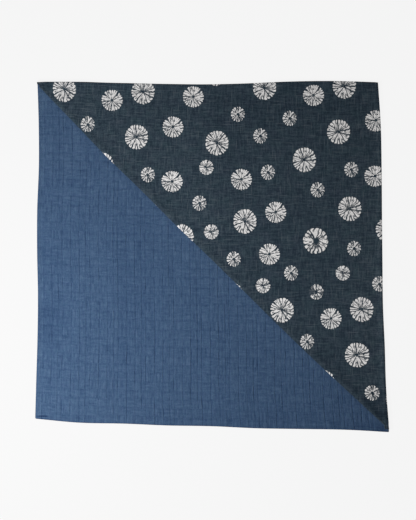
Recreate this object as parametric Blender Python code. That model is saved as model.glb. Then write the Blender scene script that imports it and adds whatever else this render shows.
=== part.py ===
"""Two square cotton cloths, lying flat one on the other.

The plain cloth lies underneath, open. The print cloth is folded in half on
its diagonal and lies over the upper right half of the plain one, so its
rolled fold runs from the top left corner to the bottom right corner.
Metres, +X to the right and +Y up as the cloths lie, +Z up from the floor.
"""

import math

import bpy

MM = 0.001

# Cloth thicknesses, hems and clearances, in millimetres.
LAYER_THICK = 1.1
HEM_WIDE = 5.0
HEM_RAISE = 0.35
HEM_RAMP = 1.6
CLEARANCE = 0.5
LAYER_GAP = 0.95
HIDDEN_INSET = 1.6
CORNER_ROUND = 1.3

# The rolled fold: how far it reaches in, how high it stands, and how far
# behind it the two layers have settled together again.
ROLL_DEPTH = 4.4
ROLL_HEIGHT = 4.3
ROLL_SETTLE = 8.0
ROLL_STEPS = 6

PLAIN_CELLS = 24
FOLD_COLUMNS = 44
INNER_ROWS = 7

# The outline, in millimetres from its middle.
CORNERS = {
    "top_left": (-250.2, 250.0),
    "top_right": (237.0, 249.3),
    "bottom_right": (253.5, -251.3),
    "bottom_left": (-253.5, -232.0),
}

# Each side's two corners, and how far it bows outwards at even steps.
SIDES = {
    "top": ("top_left", "top_right", (0, 0.0, -1.6, -2.7, -3.3, -1.6, 1.0, 1.7, 0)),
    "right": ("top_right", "bottom_right", (0, 2.0, 1.1, -0.4, -1.9, -3.3, -2.7, -2.7, 0)),
    "bottom": ("bottom_right", "bottom_left", (0, -1.0, 0.4, 1.7, 1.2, 2.5, 2.3, 3.3, 0)),
    "left": ("bottom_left", "top_left", (0, -1.3, -2.6, -2.7, -1.1, -0.9, -2.8, -2.2, 0)),
}

# The fold's two ends, and how far it bows towards the lower left at even steps.
FOLD_ENDS = ((-246.7, 242.2), (246.2, -240.9))
FOLD_BOW = (0, 1.8, 3.9, 3.7, 4.5, 3.8, 3.9, 4.2, 3.6, 2.0, 0)

# Where the first and last regular columns meet the outline, as shares of the
# way from the top left corner over the top right one to the bottom right one.
LEG_FIRST = 0.012
LEG_LAST = 0.985

# The blunt tips, from the regular columns outwards: fold point, outline point.
TIP_TOP_LEFT = (
    ((-247.2, 246.0), (-246.9, 249.5)),
    ((-250.0, 246.6), (-250.2, 249.5)),
)
TIP_BOTTOM_RIGHT = (
    ((246.3, -243.7), (252.3, -241.4)),
    ((246.9, -246.5), (252.9, -246.2)),
)

# Soft unevenness: height, length and heading of each ripple, and its phase.
RIPPLE_COLUMNS = ("height", "length", "heading_deg", "phase")
PLAIN_RIPPLES = (
    (0.20, 118.0, 6.0, 0.6),
    (0.12, 74.0, 96.0, 2.1),
    (0.10, 55.0, 31.0, 4.4),
)
PRINT_RIPPLES = (
    (0.26, 96.0, 4.0, 1.2),
    (0.16, 63.0, -22.0, 2.9),
    (0.10, 140.0, 82.0, 0.4),
)


def clear_scene():
    for thing in list(bpy.data.objects):
        bpy.data.objects.remove(thing)


def material(name, colour, roughness):
    made = bpy.data.materials.new(name)
    made.use_nodes = True
    shader = made.node_tree.nodes["Principled BSDF"]
    shader.inputs["Base Color"].default_value = (*colour, 1.0)
    shader.inputs["Roughness"].default_value = roughness
    return made


def mix(a, b, t):
    return tuple(p + (q - p) * t for p, q in zip(a, b))


def smooth(t):
    t = min(1.0, max(0.0, t))
    return t * t * (3.0 - 2.0 * t)


def bow_at(bows, share):
    """A smooth curve through evenly spaced offsets."""
    last = len(bows) - 1
    place = min(max(share, 0.0), 1.0) * last
    k = min(int(place), last - 1)
    t = place - k
    p1, p2 = bows[k], bows[k + 1]
    p0 = bows[k - 1] if k > 0 else 2 * p1 - p2
    p3 = bows[k + 2] if k + 2 <= last else 2 * p2 - p1
    slope = (-p0 + p2) * t + (2 * p0 - 5 * p1 + 4 * p2 - p3) * t * t
    return 0.5 * (2 * p1 + slope + (-p0 + 3 * p1 - 3 * p2 + p3) * t ** 3)


def bowed(start, end, bows, share):
    """A point on the bowed line from start to end. It bows to the left of its run."""
    along_x, along_y = end[0] - start[0], end[1] - start[1]
    length = math.hypot(along_x, along_y)
    bow = bow_at(bows, share)
    x, y = mix(start, end, share)
    return (x - along_y / length * bow, y + along_x / length * bow)


def side_point(side, share, inset=0.0):
    """A point on one side of the outline. The sides run clockwise from the top left."""
    first, last, bows = SIDES[side]
    pulled = tuple(b - inset for b in bows)
    return bowed(CORNERS[first], CORNERS[last], pulled, share)


def ripple(ripples, x, y):
    total = 0.0
    for row in ripples:
        wave = dict(zip(RIPPLE_COLUMNS, row))
        heading = math.radians(wave["heading_deg"])
        along = x * math.cos(heading) + y * math.sin(heading)
        total += wave["height"] * math.sin(2 * math.pi * along / wave["length"] + wave["phase"])
    return total


def ripple_most(ripples):
    return sum(row[0] for row in ripples)


def plain_top(x, y):
    """Height of the plain cloth's upper face, hems left out."""
    return LAYER_THICK + ripple_most(PLAIN_RIPPLES) + ripple(PLAIN_RIPPLES, x, y)


def plain_point(u, v):
    """A point of the plain cloth, u to the right and v downwards, each 0 to 1."""
    hidden = HIDDEN_INSET * 0.75
    top = side_point("top", u, hidden)
    right = side_point("right", v, hidden * (1.0 - smooth((v - 0.9) / 0.1)))
    bottom = side_point("bottom", 1.0 - u)
    left = side_point("left", 1.0 - v)
    top_left = side_point("top", 0.0, hidden)
    top_right = tuple(c - hidden for c in CORNERS["top_right"])
    bottom_right, bottom_left = CORNERS["bottom_right"], CORNERS["bottom_left"]
    found = []
    for k in range(2):
        across = (1 - v) * top[k] + v * bottom[k] + (1 - u) * left[k] + u * right[k]
        corner = (1 - u) * (1 - v) * top_left[k] + u * (1 - v) * top_right[k]
        corner += (1 - u) * v * bottom_left[k] + u * v * bottom_right[k]
        found.append(across - corner)
    return tuple(found)


def cell_lines(cells):
    """Shares of the lattice lines: an edge, the hem, its step down, then even cells."""
    side = 500.0
    hem, step = HEM_WIDE / side, (HEM_WIDE + HEM_RAMP) / side
    even = [step + (1 - 2 * step) * k / cells for k in range(cells + 1)]
    return [0.0, hem] + even + [1 - hem, 1.0]


def add_mesh(name, points, faces, colour, roughness):
    mesh = bpy.data.meshes.new(name)
    mesh.from_pydata([tuple(c * MM for c in p) for p in points], [], faces)
    mesh.validate()
    mesh.materials.append(material(name, colour, roughness))
    for face in mesh.polygons:
        face.use_smooth = True
    thing = bpy.data.objects.new(name, mesh)
    bpy.context.scene.collection.objects.link(thing)
    return thing


def sheet_faces(columns, rows):
    """Faces of a closed sheet: one face's points first, then the other's, row by row."""
    half = columns * rows

    def at(side, i, j):
        return side * half + i * rows + j

    faces = []
    for i in range(columns - 1):
        for j in range(rows - 1):
            faces.append((at(0, i, j), at(0, i, j + 1), at(0, i + 1, j + 1), at(0, i + 1, j)))
            faces.append((at(1, i, j), at(1, i + 1, j), at(1, i + 1, j + 1), at(1, i, j + 1)))
    for i in range(columns - 1):
        for j, turned in ((0, False), (rows - 1, True)):
            rim = (at(0, i, j), at(0, i + 1, j), at(1, i + 1, j), at(1, i, j))
            faces.append(rim[::-1] if turned else rim)
    for j in range(rows - 1):
        for i, turned in ((0, True), (columns - 1, False)):
            rim = (at(0, i, j), at(0, i, j + 1), at(1, i, j + 1), at(1, i, j))
            faces.append(rim[::-1] if turned else rim)
    return faces


def plain_cloth():
    lines = cell_lines(PLAIN_CELLS)
    last = len(lines) - 1
    upper, lower = [], []
    for i, u in enumerate(lines):
        for j, v in enumerate(lines):
            x, y = plain_point(u, v)
            if i in (0, last) and j in (0, last):
                x -= math.copysign(CORNER_ROUND, x)
                y -= math.copysign(CORNER_ROUND, y)
            hemmed = min(i, last - i, j, last - j) <= 1
            upper.append((x, y, plain_top(x, y) + (HEM_RAISE if hemmed else 0.0)))
            lower.append((x, y, 0.0))
    return add_mesh(
        "plain_cloth", upper + lower, sheet_faces(len(lines), len(lines)), (0.062, 0.100, 0.186), 0.9
    )


def leg_point(share, inset=0.0):
    """A point on the print cloth's two open sides, from the top left to the bottom right."""
    if share <= 0.5:
        return side_point("top", 2 * share, inset)
    return side_point("right", 2 * share - 1, inset)


def fold_columns():
    """Pairs of fold point and outline point, from the top left tip to the bottom right one."""
    pairs = list(reversed(TIP_TOP_LEFT))
    # The bow is given towards the lower left, which is to the right of the run.
    bows = tuple(-b for b in FOLD_BOW)
    for k in range(FOLD_COLUMNS + 1):
        share = k / FOLD_COLUMNS
        leg = LEG_FIRST + (LEG_LAST - LEG_FIRST) * share
        pairs.append((bowed(*FOLD_ENDS, bows, share), leg_point(leg)))
    return pairs + list(TIP_BOTTOM_RIGHT)


def row_distances(length):
    """Distances from the fold of one layer's rows, from the roll's back to the open side."""
    squeeze = min(1.0, length / 42.0)
    roll = ROLL_DEPTH * squeeze
    settle = roll + (ROLL_SETTLE - ROLL_DEPTH) * squeeze
    slant = math.sqrt(2.0)
    hem = length - HEM_WIDE * slant * squeeze
    step = hem - HEM_RAMP * slant * squeeze
    rows = [roll, (roll + settle) / 2, settle]
    rows += [settle + (step - settle) * k / INNER_ROWS for k in range(1, INNER_ROWS)]
    return roll, rows + [step, hem, length]


def column_profile(fold, leg):
    """Outer and inner points of the folded section, from the upper layer's open side
    round the fold to the lower layer's open side."""
    length = math.hypot(leg[0] - fold[0], leg[1] - fold[1])
    run = ((leg[0] - fold[0]) / length, (leg[1] - fold[1]) / length)
    squeeze = min(1.0, length / 42.0)
    roll, rows = row_distances(length)
    hems = len(rows) - 2

    def place(distance):
        return fold[0] + run[0] * distance, fold[1] + run[1] * distance

    def floor_height(distance):
        x, y = place(distance)
        near = (length - distance) / math.sqrt(2.0)
        lift = HEM_RAISE * (1.0 - smooth((near - 7.0) / 9.0))
        return plain_top(x, y) + lift + CLEARANCE + HEM_RAISE * (1.0 - smooth((near - 5.0) / 6.0))

    def gap(distance):
        x, y = place(distance)
        back = smooth((distance - roll) / max(ROLL_SETTLE - ROLL_DEPTH, 0.1))
        open_gap = ROLL_HEIGHT - 2 * LAYER_THICK
        rest = LAYER_GAP + ripple(PRINT_RIPPLES, x, y)
        return rest + (open_gap - rest) * (1.0 - back)

    outer, inner = [], []
    low_inset = HIDDEN_INSET * squeeze
    for k in reversed(range(len(rows))):
        x, y = place(rows[k])
        base = floor_height(rows[k]) + 2 * LAYER_THICK + gap(rows[k])
        outer.append((x, y, base + (HEM_RAISE if k >= hems else 0.0)))
        inner.append((x, y, base - LAYER_THICK))
    foot = floor_height(roll)
    height = 2 * LAYER_THICK + gap(roll)
    middle = foot + height / 2
    wall = min(LAYER_THICK * 1.15, roll * 0.6)
    for k in range(1, ROLL_STEPS):
        angle = math.pi / 2 - math.pi * k / ROLL_STEPS
        x, y = place(roll - roll * math.cos(angle))
        outer.append((x, y, middle + height / 2 * math.sin(angle)))
        x, y = place(roll - (roll - wall) * math.cos(angle))
        inner.append((x, y, middle + (height / 2 - LAYER_THICK) * math.sin(angle)))
    for k in range(len(rows)):
        distance = rows[k] - (low_inset if k == len(rows) - 1 else 0.0)
        x, y = place(distance)
        base = floor_height(rows[k])
        outer.append((x, y, base - (HEM_RAISE if k >= hems else 0.0)))
        inner.append((x, y, base + LAYER_THICK))
    return outer, inner


def print_cloth():
    outers, inners = [], []
    pairs = fold_columns()
    for fold, leg in pairs:
        outer, inner = column_profile(fold, leg)
        outers += outer
        inners += inner
    rows = len(outers) // len(pairs)
    return add_mesh(
        "print_cloth", outers + inners, sheet_faces(len(pairs), rows), (0.030, 0.040, 0.052), 0.9
    )


def centre(things):
    """Put the middle of the whole outline's box on the origin."""
    corners = [vertex.co for thing in things for vertex in thing.data.vertices]
    middle = [(min(c[k] for c in corners) + max(c[k] for c in corners)) / 2 for k in range(2)]
    for thing in things:
        for vertex in thing.data.vertices:
            vertex.co.x -= middle[0]
            vertex.co.y -= middle[1]


clear_scene()
centre([plain_cloth(), print_cloth()])
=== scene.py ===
"""Looks of the two square cotton cloths: crinkled blue below, ring print folded over it."""
import math

import bpy
import numpy as np
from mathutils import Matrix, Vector


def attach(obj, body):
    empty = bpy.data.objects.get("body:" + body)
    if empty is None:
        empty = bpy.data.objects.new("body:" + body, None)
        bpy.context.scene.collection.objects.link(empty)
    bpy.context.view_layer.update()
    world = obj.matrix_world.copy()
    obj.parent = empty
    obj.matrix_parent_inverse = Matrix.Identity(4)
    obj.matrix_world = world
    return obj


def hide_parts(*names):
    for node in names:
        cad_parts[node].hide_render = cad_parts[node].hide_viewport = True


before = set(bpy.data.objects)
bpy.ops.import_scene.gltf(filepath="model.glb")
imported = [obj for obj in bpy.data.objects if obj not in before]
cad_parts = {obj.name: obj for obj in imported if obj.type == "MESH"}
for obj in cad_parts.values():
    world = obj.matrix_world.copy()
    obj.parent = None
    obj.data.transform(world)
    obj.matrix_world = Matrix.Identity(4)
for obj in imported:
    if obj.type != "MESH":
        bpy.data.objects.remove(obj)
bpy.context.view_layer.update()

MM = 0.001
PX = 1.43  # millimetres to a pixel of the photograph
SHIFT = (0.14, -0.05)  # the part's own centring, in millimetres
MIDDLE_PIXEL = (212.15, 256.70)  # the middle of the outline in the photograph


def place(px, py):
    """Millimetres on the cloth for a point of the photograph."""
    return (px - MIDDLE_PIXEL[0]) * PX + SHIFT[0], (MIDDLE_PIXEL[1] - py) * PX + SHIFT[1]


# The outline in millimetres, as in the solids. Sides and fold bow by the given amounts at even steps.
CORNERS = {
    "top_left": (-250.2, 250.0),
    "top_right": (237.0, 249.3),
    "bottom_right": (253.5, -251.3),
    "bottom_left": (-253.5, -232.0),
}
SIDES = {
    "top": ("top_left", "top_right", (0, 0.0, -1.6, -2.7, -3.3, -1.6, 1.0, 1.7, 0)),
    "right": ("top_right", "bottom_right", (0, 2.0, 1.1, -0.4, -1.9, -3.3, -2.7, -2.7, 0)),
    "bottom": ("bottom_right", "bottom_left", (0, -1.0, 0.4, 1.7, 1.2, 2.5, 2.3, 3.3, 0)),
    "left": ("bottom_left", "top_left", (0, -1.3, -2.6, -2.7, -1.1, -0.9, -2.8, -2.2, 0)),
}
FOLD_ENDS = ((-246.7, 242.2), (246.2, -240.9))
FOLD_BOW = (0, 1.8, 3.9, 3.7, 4.5, 3.8, 3.9, 4.2, 3.6, 2.0, 0)
LEG_FIRST, LEG_LAST = 0.012, 0.985
# The blunt tips: points on the fold and on an open side.
TIP_TOP_LEFT = (((-247.2, 246.0), (-246.9, 249.5)), ((-250.0, 246.6), (-250.2, 249.5)))
TIP_BOTTOM_RIGHT = (((246.3, -243.7), (252.3, -241.4)), ((246.9, -246.5), (252.9, -246.2)))
# Layers of the solids, and ripples by height, length, heading in degrees and phase.
LAYER_THICK, HEM_RAISE, CLEARANCE, LAYER_GAP, HIDDEN_INSET = 1.1, 0.35, 0.5, 0.95, 1.6
PLAIN_RIPPLES = ((0.20, 118.0, 6.0, 0.6), (0.12, 74.0, 96.0, 2.1), (0.10, 55.0, 31.0, 4.4))
PRINT_RIPPLES = ((0.26, 96.0, 4.0, 1.2), (0.16, 63.0, -22.0, 2.9), (0.10, 140.0, 82.0, 0.4))


def smooth(t):
    t = np.clip(t, 0.0, 1.0)
    return t * t * (3.0 - 2.0 * t)


def bell(offset, width):
    """1 at no offset, falling softly to 0 on both sides."""
    return np.exp(-(offset / width) ** 2)


def bow_at(bows, share):
    bows = np.array(bows, float)
    last = len(bows) - 1
    at = np.clip(share, 0.0, 1.0) * last
    k = np.minimum(at.astype(int), last - 1)
    t = at - k
    here, ahead = bows[k], bows[k + 1]
    before = np.where(k > 0, bows[np.maximum(k - 1, 0)], 2 * here - ahead)
    after = np.where(k + 2 <= last, bows[np.minimum(k + 2, last)], 2 * ahead - here)
    slope = (-before + ahead) * t + (2 * before - 5 * here + 4 * ahead - after) * t * t
    return 0.5 * (2 * here + slope + (-before + 3 * here - 3 * ahead + after) * t ** 3)


def bowed(start, end, bows, share):
    """Points along a line that bows to its left by the given millimetres."""
    share = np.asarray(share, float)
    along = np.subtract(end, start)
    length = np.hypot(*along)
    bow = bow_at(bows, share)
    x = start[0] + along[0] * share - along[1] / length * bow
    y = start[1] + along[1] * share + along[0] / length * bow
    return np.stack([x, y], -1)


def side_point(side, share, inset=0.0):
    """A point at a share along a side, inset from it."""
    first, last, bows = SIDES[side]
    return bowed(CORNERS[first], CORNERS[last], [b - inset for b in bows], share)


def ripple(ripples, x, y):
    total = 0.0
    for height, length, heading, phase in ripples:
        a = math.radians(heading)
        total = total + height * np.sin(2 * np.pi * (x * math.cos(a) + y * math.sin(a)) / length + phase)
    return total


NOISE_CELLS = 61


def noise(x, y, seed):
    """Smooth random values from -1 to 1, one to each unit of x and y."""
    table = np.random.default_rng(seed).random((NOISE_CELLS, NOISE_CELLS)) * 2 - 1
    xi, yi = np.floor(x).astype(int), np.floor(y).astype(int)
    fx, fy = smooth(x - xi), smooth(y - yi)
    t = [[table[(xi + i) % NOISE_CELLS, (yi + j) % NOISE_CELLS] for j in (0, 1)] for i in (0, 1)]
    return (t[0][0] * (1 - fx) + t[1][0] * fx) * (1 - fy) + (t[0][1] * (1 - fx) + t[1][1] * fx) * fy


# The hems, in millimetres.
HEM_WIDTH = 5.0
HEM_HEIGHT = 0.50
STITCH_INSET = 3.7  # from the edge to the stitches
# The stitches' groove, a dip behind the hem and its puff: place, width and height.
HEM_RIDGES = ((STITCH_INSET, 0.42, -0.36), (5.6, 0.5, -0.16), (2.0, 0.9, 0.12))


def hem_height(edge, width=HEM_WIDTH):
    """How far a hem stands above the cloth, by the distance from the cloth's edge."""
    scaled = edge * HEM_WIDTH / width
    step = HEM_HEIGHT * (1 - smooth((scaled - 4.3) / 1.1))
    ridges = (height * bell(scaled - at, spread) for at, spread, height in HEM_RIDGES)
    return sum(ridges, step)


# Painted shade on the hems, and painted light where the share is below 0: millimetres in from the edge,
# how wide, and by what share.
PAINTED_HEM_SHADING = {
    "top": ((0.0, 2.2, 0.27), (3.6, 1.7, 0.09)),
    "right": ((0.0, 2.2, 0.24), (5.2, 2.1, -0.25), (9.0, 3.5, -0.06), (28.0, 22.0, -0.1)),
    "bottom": ((0.0, 2.4, 0.26), (5.0, 1.2, -0.03), (9.3, 1.8, -0.03)),
    "left": ((0.0, 1.2, 0.27), (4.2, 1.8, -0.15), (7.2, 1.8, -0.14)),
}


# Painted shade and painted light across a hem, unevenly strong along it.
def painted_hem_shade(side, edge, along):
    uneven = 0.75 + 0.5 * noise(along / 9.0, np.zeros_like(along) + 3.0, 73)
    return sum(share * uneven * bell(edge - at, spread) for at, spread, share in PAINTED_HEM_SHADING[side])


def pucker(along, edge):
    """The small gathers that a hem's sewing pulls into the cloth beside it."""
    fade = bell(edge - 5.5, 5.0)
    return fade * (0.16 * noise(along / 4.6, edge / 9.0, 71) + 0.12 * noise(along / 11.0, edge / 14.0, 72))


# The plain cloth's crinkle. Its weave repeats a group of four creased lines down the cloth and
# three across it, at these millimetres in each repeat.
SIDE = 500.0
DOWN_REPEAT = 40.2
DOWN_LINES = (9.0, 21.1, 30.4, 36.5)
CROSS_REPEAT = 38.5
CROSS_LINES = (0.5, 13.8, 28.0)
BAND = CROSS_REPEAT / 3
rng = np.random.default_rng(20)
repeats = int(SIDE / DOWN_REPEAT) + 1
main = (DOWN_REPEAT * np.arange(repeats)[:, None] + np.array(DOWN_LINES)).ravel()
count = len(main)
between = main[:-1] + np.diff(main) * rng.uniform(0.34, 0.66, count - 1)
bands = int(SIDE / BAND) + 2
main_force = rng.uniform(0.5, 0.9, (count, 1)) * (0.25 + 0.75 * rng.random((count, bands)) ** 1.2)
between_force = rng.uniform(0.3, 0.85, (count - 1, 1)) * np.where(
    rng.random((count - 1, bands)) < 0.4, 0.0, rng.random((count - 1, bands)))
CREASE_X = np.concatenate([main + rng.uniform(-0.3, 0.3, count), between])
CREASE_FORCE = np.concatenate([main_force, between_force])
CREASE_JOG = np.concatenate([rng.uniform(-0.6, 0.6, main_force.shape),
                             rng.uniform(-1.0, 1.0, between_force.shape)])

# Soft creases left from folding and handling, in the photograph's pixels:
# middle, half length, half width, heading in degrees, height in millimetres.
PLAIN_DENTS = (
    (113, 277, 62, 8, 90, 0.6), (88, 296, 16, 10, 80, 0.45), (50, 322, 20, 10, 90, -0.55),
    (47, 226, 14, 8, 90, 0.45), (44, 196, 9, 7, 90, -0.4), (42, 250, 9, 7, 90, -0.4),
    (166, 260, 60, 7, 90, 0.35), (155, 330, 50, 7, 90, -0.25), (214, 345, 60, 6, 90, 0.3),
    (153, 337, 110, 4, 1, 0.3), (160, 362, 110, 4, 0, 0.22), (300, 392, 50, 6, 1, -0.2),
    (74, 330, 80, 6, 90, 0.2), (148, 414, 8, 6, 90, 0.45), (212, 416, 8, 6, 90, 0.4),
    (243, 417, 8, 5, 90, 0.4), (269, 418, 8, 6, 90, 0.4), (306, 420, 8, 6, 90, 0.4),
    (353, 424, 8, 5, 90, 0.4),
)
PRINT_DENTS = (
    (262, 195, 36, 6, 88, -0.5), (225, 251, 14, 6, -25, -0.6), (262, 266, 10, 6, 70, -0.6),
    (193, 155, 30, 10, 80, 0.45), (192, 208, 16, 12, 60, 0.6), (153, 188, 16, 6, 85, -0.45),
    (112, 136, 14, 7, 40, -0.4), (80, 98, 16, 9, 60, 0.4), (127, 97, 8, 6, 80, -0.4),
    (227, 98, 8, 8, 30, -0.45), (173, 106, 10, 6, 85, -0.4), (357, 97, 12, 7, 75, -0.45),
    (333, 358, 18, 8, -40, -0.5), (313, 288, 12, 10, 60, 0.45), (362, 330, 26, 8, 85, 0.35),
    (300, 130, 40, 12, 85, 0.3), (330, 215, 30, 9, 75, -0.3), (240, 120, 24, 9, 95, 0.3),
)

# Painted shade on the cloths in soft patches and thin lines, and painted light where the share is below 0,
# in the same columns with a share in place of the height.
PLAIN_PAINTED_SHADING = (
    (46, 323, 22, 13, 90, 0.15), (43, 252, 7, 9, 90, 0.08), (43, 186, 18, 9, 90, 0.07),
    (123, 315, 80, 6, 90, 0.06), (230, 416, 95, 7, 2, 0.05), (76, 146, 42, 8, 90, -0.07),
    (44, 98, 14, 8, -50, -0.15), (52, 290, 60, 14, 90, 0.05), (205, 264, 160, 14, -45, -0.06),
    (142, 262, 80, 20, 90, 0.045), (74, 406, 50, 14, 0, -0.05), (308, 357, 14, 9, -45, -0.06),
    (320, 427.6, 75, 1.2, -2, 0.13), (300, 421, 90, 3, -2, 0.06), (42, 416.4, 5.5, 0.6, 0, 0.95),
    (366, 427.0, 18, 0.7, -3, 0.3), (366, 429.0, 18, 0.7, -3, -0.16), (68, 418.0, 22, 0.8, -3, 0.14),
    (376, 430.3, 12, 0.8, -3, 0.2),
)
PRINT_PAINTED_SHADING = (
    (106, 97, 26, 13, 0, -0.08), (178, 154, 36, 22, 0, -0.08), (208, 206, 24, 15, -40, -0.12),
    (310, 107, 84, 9, 0, 0.1), (248, 117, 40, 15, 0, 0.08), (310, 172, 40, 30, 0, -0.05),
    (377, 282, 80, 10, 90, -0.15), (350, 262, 55, 20, 90, -0.09), (357, 389, 44, 9, -45, 0.2),
    (385.4, 414, 17, 1.1, -84, 0.26), (380, 406, 22, 8, -75, 0.16), (370, 408, 14, 5, -45, 0.2),
    (290, 280, 26, 12, 90, 0.1), (46, 86.0, 7, 0.8, -6, 0.45), (374, 90, 10, 6, -80, 0.1),
    (261, 268, 12, 8, 0, 0.08),
)


def dents(rows, x, y):
    total = np.zeros_like(x)
    for px, py, long, wide, heading, height in rows:
        cx, cy = place(px, py)
        a = math.radians(heading)
        u = ((x - cx) * math.cos(a) + (y - cy) * math.sin(a)) / (long * PX)
        v = (-(x - cx) * math.sin(a) + (y - cy) * math.cos(a)) / (wide * PX)
        total += height * np.exp(-u ** 4 - v ** 2)
    return total


CREASE_SHADE = 0.22  # painted shade: how much darker the bottom of a crease is coloured
CREASE_REACH = 7


def crinkle(X, Y):
    """Height of the crinkled weave at cloth coordinates in millimetres, and how deep in a crease."""
    height = np.zeros_like(X)
    depth = np.zeros_like(X)
    place_in_band = Y / BAND
    band = np.clip(place_in_band.astype(int), 0, bands - 2)
    part = place_in_band - band
    pinch = 1 - 0.6 * bell(part - 0.5 * np.sign(part - 0.5) - 0.5, 0.16)
    blend = smooth((part - 0.86) / 0.28)
    for k, at in enumerate(CREASE_X):
        near = np.abs(X - at) < CREASE_REACH
        if not near.any():
            continue
        b, t = band[near], blend[near]
        force = CREASE_FORCE[k][b] * (1 - t) + CREASE_FORCE[k][b + 1] * t
        jog = CREASE_JOG[k][b] * (1 - t) + CREASE_JOG[k][b + 1] * t
        off = X[near] - at - jog * 0.55
        force = force * pinch[near]
        narrow = bell(off, 0.75)
        flanks = 0.10 * bell(np.abs(off) - 2.6, 1.2)
        height[near] += force * (-0.34 * narrow - 0.16 * bell(off, 2.4) + flanks)
        depth[near] += force * narrow
    # The check: shallow lines across, and softer puffs between the pairs of lines.
    line = np.zeros_like(Y)
    for k, at in enumerate(CROSS_LINES):
        number = np.round((Y - at) / CROSS_REPEAT)
        across = Y - at - number * CROSS_REPEAT - 0.5 * noise(X / 31.0, number + 7.3 * k, 33)
        strength = 0.45 + 0.55 * noise(X / 17.0, number * 3.7 + 11.0 * k, 31)
        line += bell(across, 1.4) * np.clip(strength, 0, 1)
    height -= 0.14 * line
    bx, by = (X - DOWN_LINES[2] - 3.0) / DOWN_REPEAT, (Y - CROSS_LINES[2]) / CROSS_REPEAT
    puff = np.abs(np.sin(np.pi * bx)) ** 0.6 * np.abs(np.sin(np.pi * by)) ** 0.6
    height += 0.15 * puff
    height += 0.05 * noise(X / 2.3, Y / 9.5, 41) + 0.03 * noise(X / 8.0, Y / 1.9, 42)
    height += 0.06 * noise(X / 9.0, Y / 14.0, 43)
    return height, np.clip(depth + 0.25 * line, 0, 1)


def merged_lines(wanted, gap, most):
    """Sorted lattice lines, none closer than gap and none further apart than most."""
    kept = []
    for at in sorted(wanted):
        if not kept or at - kept[-1] >= gap:
            kept.append(at)
    kept[-1] = max(wanted)
    full = [kept[0]]
    for at in kept[1:]:
        steps = max(1, math.ceil((at - full[-1]) / most))
        start = full[-1]
        full += [start + (at - start) * (k + 1) / steps for k in range(steps)]
    half = len(full) // 2
    if len(full) % 2 == 0:
        full.insert(half, (full[half - 1] + full[half]) / 2)
    return np.array(full)


# Lattice lines in millimetres: from an edge, beside a crease, and their least and most distance.
EDGE_LINES = [0, 0.3, 0.8, 1.5, 2.3, 3.0, 3.6, 4.2, 4.9, 5.7, 7.0, 9.0]
CREASE_ASIDES = (-1.5, -0.7, 0, 0.7, 1.5)
CLOSEST = 0.22
WIDEST_ACROSS, WIDEST_DOWN = 2.3, 4.3
DOWN_STEPS = 120


def plain_lines():
    ends = EDGE_LINES + [SIDE - edge for edge in EDGE_LINES]
    across = list(ends)
    for at in CREASE_X:
        if 10 < at < SIDE - 10:
            across += [at + aside for aside in CREASE_ASIDES]
    last = EDGE_LINES[-1]
    down = ends + [last + (SIDE - 2 * last) * k / DOWN_STEPS for k in range(DOWN_STEPS + 1)]
    return merged_lines(across, CLOSEST, WIDEST_ACROSS), merged_lines(down, CLOSEST, WIDEST_DOWN)


def coons(across, down):
    """Points of the plain cloth at shares across and down it, between its bowed sides."""
    hidden = HIDDEN_INSET * 0.75
    top = side_point("top", across, hidden)
    right = side_point("right", down)
    right[..., 0] -= hidden * (1.0 - smooth((down - 0.9) / 0.1))
    bottom = side_point("bottom", 1.0 - across)
    left = side_point("left", 1.0 - down)
    top_left = side_point("top", 0.0, hidden)
    top_right = np.array(CORNERS["top_right"]) - hidden
    bottom_right, bottom_left = np.array(CORNERS["bottom_right"]), np.array(CORNERS["bottom_left"])
    u, v = across[..., None], down[..., None]
    flat = (1 - v) * top + v * bottom + (1 - u) * left + u * right
    corners = (1 - u) * (1 - v) * top_left + u * (1 - v) * top_right
    return flat - (corners + (1 - u) * v * bottom_left + u * v * bottom_right)


CORNER_RADIUS = 1.8
LOWEST = 0.02
PLAIN_HALF = 0.32  # half the plain cloth's thickness


def round_corners(X, Y):
    """Cloth coordinates with the square's corners rounded off."""
    a, b = np.minimum(X, SIDE - X), np.minimum(Y, SIDE - Y)
    right, down = np.clip(CORNER_RADIUS - a, 0, None), np.clip(CORNER_RADIUS - b, 0, None)
    far = np.hypot(right, down)
    keep = np.where(far > 0, np.maximum(right, down) / np.maximum(far, 1e-9), 1.0)
    both = (right > 0) & (down > 0)
    a = np.where(both, CORNER_RADIUS - right * keep, a)
    b = np.where(both, CORNER_RADIUS - down * keep, b)
    return np.where(X < SIDE / 2, a, SIDE - a), np.where(Y < SIDE / 2, b, SIDE - b)


def add_object(name, data):
    thing = bpy.data.objects.new(name, data)
    bpy.context.scene.collection.objects.link(thing)
    return thing


def make_mesh(name, points, faces, material, attributes=()):
    """An object from points in millimetres, with named values for its material."""
    mesh = bpy.data.meshes.new(name)
    mesh.from_pydata([tuple(p) for p in (np.asarray(points) * MM).tolist()], [], faces)
    for label, domain, values in attributes:
        layer = mesh.attributes.new(label, "FLOAT_VECTOR", domain)
        layer.data.foreach_set("vector", np.asarray(values, np.float32).ravel())
    mesh.polygons.foreach_set("use_smooth", [True] * len(mesh.polygons))
    mesh.materials.append(material)
    return add_object(name, mesh)


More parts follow.
